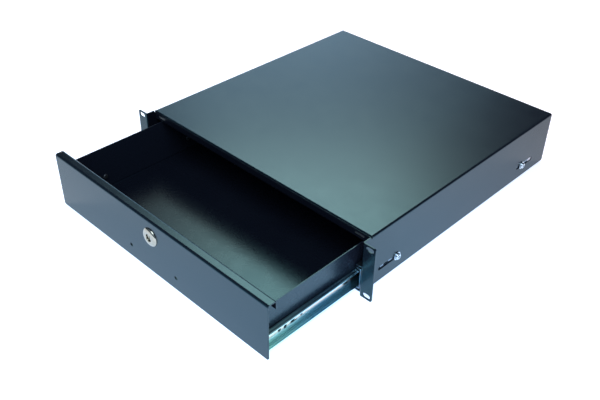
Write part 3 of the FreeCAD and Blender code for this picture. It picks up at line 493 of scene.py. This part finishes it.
def make_keyway_shutter():
    """Sprung shutter just inside the keyway, bowed toward the front."""
    low, high = corners("lock_plug")
    level = ((low + high) / 2).z
    half_wide, half_tall, thick = 1.0 * MM, 4.1 * MM, 0.4 * MM
    bow, setback, columns = 0.5 * MM, 0.7 * MM, 8
    across = [half_wide * (2 * i / columns - 1) for i in range(columns + 1)]
    shape = bmesh.new()

    def edge_line(back, up):
        return [shape.verts.new((x, low.y + setback + back + bow * (x / half_wide) ** 2,
                                 level + up)) for x in across]

    front_low, front_high = edge_line(0.0, -half_tall), edge_line(0.0, half_tall)
    back_low, back_high = edge_line(thick, -half_tall), edge_line(thick, half_tall)
    for i in range(columns):
        shape.faces.new((front_low[i], front_low[i + 1], front_high[i + 1], front_high[i]))
        shape.faces.new((back_low[i], back_high[i], back_high[i + 1], back_low[i + 1]))
        shape.faces.new((front_low[i], back_low[i], back_low[i + 1], front_low[i + 1]))
        shape.faces.new((front_high[i], front_high[i + 1], back_high[i + 1], back_high[i]))
    for i in (0, columns):
        shape.faces.new((front_low[i], front_high[i], back_high[i], back_low[i]))
    finish_piece("keyway_shutter", shape, "lock", "brass")


# The slots in the cover's lip: half the case's width and how far in from there, and the cover's
# sheet, how far under it, and where the lip's face is along Y
CASE_HALF, SLOT_INSET = 0.222, 0.0195
COVER_SHEET, SLOT_DROP, LIP_FACE = 1.5 * MM, 5.0 * MM, 13.7 * MM
# Sections of a glide from front to back, in millimetres: half its length, half its height and
# how far behind the lip's face. It bulges before the lip, fills the slot and has a head behind.
GLIDE_SECTIONS = [
    (6.2, 0.4, -0.45), (7.3, 1.2, -0.40), (7.8, 1.6, -0.15), (7.85, 1.65, 0.10),
    (7.85, 1.65, 1.55), (8.6, 2.4, 1.70), (8.4, 2.2, 2.60), (7.4, 1.2, 2.80),
]


def oblong(half_long, half_tall):
    """Outline of a bar with round ends, in its own plane."""
    run, radii = half_long - half_tall, (half_tall, half_tall)
    return (arc((run, 0.0), radii, -90, 90, steps=12)
            + arc((-run, 0.0), radii, 90, 270, steps=12))


def make_glides():
    """Nylon buttons pressed into the slots of the cover's lip, which steady the drawer."""
    level = corners("chassis_shell")[1].z - COVER_SHEET - SLOT_DROP
    for name, side in (("left", -1), ("right", 1)):
        place = side * (CASE_HALF - SLOT_INSET)
        outlines = [[(place + x, LIP_FACE + back * MM, level + z)
                     for x, z in oblong(half_long * MM, half_tall * MM)]
                    for half_long, half_tall, back in GLIDE_SECTIONS]
        finish_piece(f"lip_glide_{name}", stacked(outlines), "case", "nylon")


make_lock_case()
make_keyway_shutter()
make_glides()


# ---- Studio -----------------------------------------------------------------------------------

# The floor's half width, and where its glow changes from one colour to the next: along X from
# the first to the second, and along Y to the third. They set what the object's sides mirror.
FLOOR_HALF = 9.0
FLOOR_LEVEL = CAD_BOX[0][2]
GLOW_X, GLOW_Y = (-0.55, 0.15), (0.15, 0.55)
GLOW_LEFT, GLOW_RIGHT, GLOW_REAR = (0.42, 0.46, 0.50), (0.74, 0.96, 1.34), (0.52, 0.49, 0.56)


def make_floor():
    """Plain pale table under the object, with a soft tinted glow of its own."""
    mesh = bpy.data.meshes.new("floor")
    mesh.from_pydata([(x * FLOOR_HALF, y * FLOOR_HALF, FLOOR_LEVEL)
                      for x, y in ((-1, -1), (1, -1), (1, 1), (-1, 1))], [], [(0, 1, 2, 3)])
    floor = bpy.data.objects.new("floor", mesh)
    bpy.context.scene.collection.objects.link(floor)
    s = Shader("floor_paper")
    fibre = s.noise(scale=60.0, detail=3.0, rough=0.6)
    axes = s.axes()
    glow = s.mix(s.fade(axes["X"], *GLOW_X), GLOW_LEFT, GLOW_RIGHT)
    glow = s.mix(s.fade(axes["Y"], *GLOW_Y), glow, GLOW_REAR)
    s.set(Base_Color=s.mix(fibre, (0.93, 0.93, 0.93), (0.95, 0.95, 0.95)), Roughness=0.9,
          Specular_IOR_Level=0.2, Emission_Color=glow, Emission_Strength=1.0)
    mesh.materials.append(s.material)


def aim(azimuth, elevation):
    """Direction at an azimuth counted from +Y toward -X, in degrees, and an elevation."""
    az, el = math.radians(azimuth), math.radians(elevation)
    return (-math.sin(az) * math.cos(el), math.cos(az) * math.cos(el), math.sin(el))


# Behind the object on the left, a cool white wall, a softbox over it, and red light that warms
# all but the foot of the softbox, which the coat mirrors as its sheen. Each has the azimuths
# and then the elevations where it starts, is full, starts to fade and ends, all in degrees, and
# its colour times strength.
BACK_LIGHTS = [
    ((25.5, 41.5, 53, 61), (2, 8, 22, 40), (1.27, 1.75, 2.30)),
    ((26, 37, 50.5, 58), (31.5, 36, 60, 70), (7.6, 7.4, 6.7)),
    ((26, 37, 50.5, 58), (38, 44, 60, 70), (2.6, 0.0, 0.0)),
]
# The azimuth from which the back lights' azimuths are measured as tangents
BACK_MIDDLE = 41.0
# Light from the whole room, and more of it from the front right, which fades between two
# cosines of the angle to its middle
ROOM_LIGHT = (0.045, 0.065, 0.095)
FRONT_LIGHT, FRONT_AIM, FRONT_FADE = (0.20, 0.28, 0.38), (205, 15), (-0.2, 0.9)
# Overhead key light at the front right: what it points at, and its direction, distance, size,
# power and colour
KEY_TARGET = Vector((0, 0.12, 0))
KEY_AIM, KEY_REACH, KEY_SIZE, KEY_POWER = (215, 60), 3.4, 2.2, 68.0
KEY_COLOUR = (0.84, 0.98, 1.14)


def make_world():
    """A dim room with a white wall and softboxes behind the object."""
    world = bpy.data.worlds.new("studio")
    bpy.context.scene.world = world
    world.use_nodes = True
    sky = Graph(world.node_tree)
    direction = sky.add("ShaderNodeTexCoord").outputs["Generated"]

    def along(axis):
        """How far a direction points along an axis, as a cosine."""
        return sky.add("ShaderNodeVectorMath", {0: direction, 1: axis},
                       operation="DOT_PRODUCT").outputs["Value"]

    def band(value, low_none, low_full, high_full, high_none):
        """1 between the full values, and fading to 0 on either side."""
        return sky.product(sky.fade(value, low_none, low_full),
                           sky.maths("SUBTRACT", 1.0, sky.fade(value, high_full, high_none)))

    def add_light(total, share, colour):
        """The light so far, and a share of a colour."""
        patch = sky.add("ShaderNodeVectorMath", {0: colour, "Scale": share}, operation="SCALE")
        return sky.add("ShaderNodeVectorMath", {0: total, 1: patch.outputs[0]},
                       operation="ADD").outputs[0]

    height = along((0, 0, 1))
    total = sky.add("ShaderNodeCombineXYZ", dict(enumerate(ROOM_LIGHT))).outputs[0]
    total = add_light(total, sky.fade(along(aim(*FRONT_AIM)), *FRONT_FADE), FRONT_LIGHT)
    # The tangent of the azimuth counted from the back lights' middle
    ahead, aside = along(aim(BACK_MIDDLE, 0)), along(aim(BACK_MIDDLE + 90, 0))
    off_middle = sky.maths("DIVIDE", aside, sky.maths("MAXIMUM", ahead, 0.001))
    for azimuths, elevations, colour in BACK_LIGHTS:
        edges = [math.tan(math.radians(a - BACK_MIDDLE)) for a in azimuths]
        levels = [math.sin(math.radians(a)) for a in elevations]
        share = sky.product(sky.fade(ahead, 0.02, 0.08), band(off_middle, *edges),
                            band(height, *levels))
        total = add_light(total, share, colour)
    background = sky.nodes["Background"]
    sky.feed(background.inputs["Color"], total)
    sky.feed(background.inputs["Strength"], 1.0)


def make_key():
    """Large overhead softbox at the front right."""
    data = bpy.data.lights.new("key", "AREA")
    data.shape, data.size, data.energy = "SQUARE", KEY_SIZE, KEY_POWER
    data.color = KEY_COLOUR
    light = bpy.data.objects.new("key", data)
    bpy.context.scene.collection.objects.link(light)
    toward = Vector(aim(*KEY_AIM))
    light.location = KEY_TARGET + toward * KEY_REACH
    light.rotation_euler = toward.to_track_quat("Z", "Y").to_euler()


# The camera's place in metres, its azimuth, elevation and roll in degrees, and its lens and
# sensor in millimetres
CAMERA_PLACE = Vector((0.67295, -0.58964, 0.64530))
CAMERA_AZIMUTH, CAMERA_ELEVATION, CAMERA_ROLL = 43.66, 36.12, 1.10
CAMERA_LENS, CAMERA_SENSOR = 46.27, 36.0


def make_camera():
    """The camera, turned from its azimuth and elevation and then rolled."""
    data = bpy.data.cameras.new("camera")
    data.lens, data.sensor_width = CAMERA_LENS, CAMERA_SENSOR
    data.clip_start, data.clip_end = 0.01, 60.0
    camera = bpy.data.objects.new("camera", data)
    bpy.context.scene.collection.objects.link(camera)
    az, el, roll = map(math.radians, (CAMERA_AZIMUTH, CAMERA_ELEVATION, CAMERA_ROLL))
    back = Vector((math.sin(az) * math.cos(el), -math.cos(az) * math.cos(el), math.sin(el)))
    level = Vector((math.cos(az), math.sin(az), 0))
    upward = back.cross(level)
    right = math.cos(roll) * level + math.sin(roll) * upward
    up = math.cos(roll) * upward - math.sin(roll) * level
    turn = Matrix((right, up, back)).transposed().to_4x4()
    camera.matrix_world = Matrix.Translation(CAMERA_PLACE) @ turn
    bpy.context.scene.camera = camera


make_floor()
make_world()
make_key()
make_camera()
bpy.context.scene.view_settings.view_transform = "Standard"
